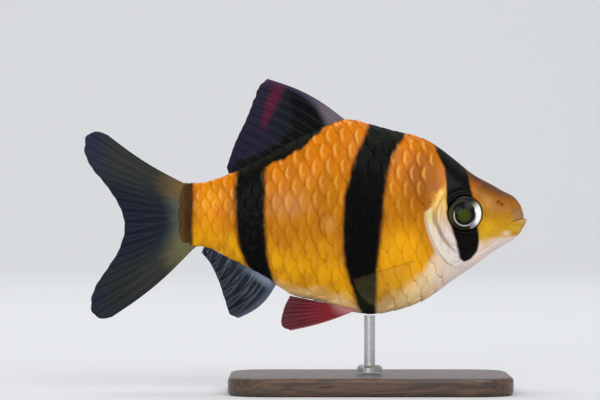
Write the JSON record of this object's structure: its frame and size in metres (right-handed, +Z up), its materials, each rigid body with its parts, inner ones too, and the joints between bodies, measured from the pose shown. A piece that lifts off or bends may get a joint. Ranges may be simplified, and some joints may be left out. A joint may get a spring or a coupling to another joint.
{
  "type": "tiger barb",
  "caption": "Life-size still model of a tiger barb, held level over a flat base by one short rod, fins spread as in swimming.",
  "frame": {"origin": "bottom centre of the whole model's box, on the underside of the stand's base", "axes": "+X towards the snout, +Z up, the fish's right side faces -Y"},
  "size_m": [0.0599, 0.023, 0.0423],
  "materials": {
    "scaled_skin": "wet-looking scales, gold orange with black bars",
    "gill_cover": "silvery with yellow, glossy",
    "fin_dark": "thin rayed membrane, black to slate with a red band",
    "fin_red": "thin rayed membrane, dark red",
    "fin_clear": "thin pale membrane with fine rays",
    "eye": "black pupil in a silver ring under a clear cornea",
    "stand_wood": "dark satin hardwood",
    "stand_steel": "satin steel"
  },
  "bodies": {
    "root": {"head": "scaled_skin", "lower_jaw": "scaled_skin", "gill_cover_right": "gill_cover", "gill_cover_left": "gill_cover", "eye_right": "eye", "eye_left": "eye", "torso": "scaled_skin", "tail_peduncle": "scaled_skin", "dorsal_fin": "fin_dark", "anal_fin": "fin_dark", "caudal_lobe_upper": "fin_dark", "caudal_lobe_lower": "fin_dark", "pectoral_fin_right": "fin_clear", "pectoral_fin_left": "fin_clear", "pelvic_fin_right": "fin_red", "pelvic_fin_left": "fin_red", "stand_base": "stand_wood", "stand_rod": "stand_steel"}
  },
  "joints": []
}
